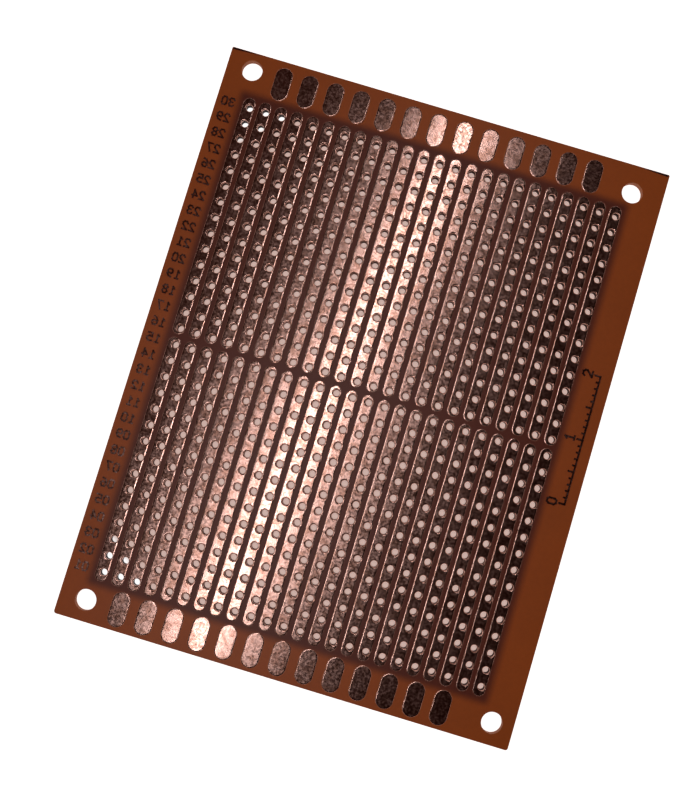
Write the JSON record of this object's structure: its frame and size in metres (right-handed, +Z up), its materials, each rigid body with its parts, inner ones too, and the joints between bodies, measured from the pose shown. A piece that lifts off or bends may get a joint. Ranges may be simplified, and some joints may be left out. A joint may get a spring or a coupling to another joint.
{
  "type": "prototype board",
  "caption": "Flat rectangular single-sided prototype board with drilled copper strips split at the middle, oblong end pads and corner mounting holes.",
  "frame": {"origin": "middle of the underside, on the surface that the board lies on", "axes": "+X across the strips towards the scale margin, +Y along the strips towards row 30, +Z up out of the copper side"},
  "size_m": [0.07, 0.09, 0.0012],
  "materials": {
    "laminate": "brown phenolic-paper laminate, smooth and slightly glossy, a little translucent",
    "copper": "bare copper foil, scrubbed with a fine mottled grain, lightly oxidised"
  },
  "bodies": {
    "root": {"board": "laminate", "centimetre_scale": "copper", "corner_marks": "copper", "pads_lower": "copper", "pads_upper": "copper", "row_numbers": "copper", "strip_01_lower": "copper", "strip_01_upper": "copper", "strip_02_lower": "copper", "strip_02_upper": "copper", "strip_03_lower": "copper", "strip_03_upper": "copper", "strip_04_lower": "copper", "strip_04_upper": "copper", "strip_05_lower": "copper", "strip_05_upper": "copper", "strip_06_lower": "copper", "strip_06_upper": "copper", "strip_07_lower": "copper", "strip_07_upper": "copper", "strip_08_lower": "copper", "strip_08_upper": "copper", "strip_09_lower": "copper", "strip_09_upper": "copper", "strip_10_lower": "copper", "strip_10_upper": "copper", "strip_11_lower": "copper", "strip_11_upper": "copper", "strip_12_lower": "copper", "strip_12_upper": "copper", "strip_13_lower": "copper", "strip_13_upper": "copper", "strip_14_lower": "copper", "strip_14_upper": "copper", "strip_15_lower": "copper", "strip_15_upper": "copper", "strip_16_lower": "copper", "strip_16_upper": "copper", "strip_17_lower": "copper", "strip_17_upper": "copper", "strip_18_lower": "copper", "strip_18_upper": "copper", "strip_19_lower": "copper", "strip_19_upper": "copper", "strip_20_lower": "copper", "strip_20_upper": "copper", "strip_21_lower": "copper", "strip_21_upper": "copper", "strip_22_lower": "copper", "strip_22_upper": "copper", "strip_23_lower": "copper", "strip_23_upper": "copper", "strip_24_lower": "copper", "strip_24_upper": "copper"}
  },
  "joints": []
}
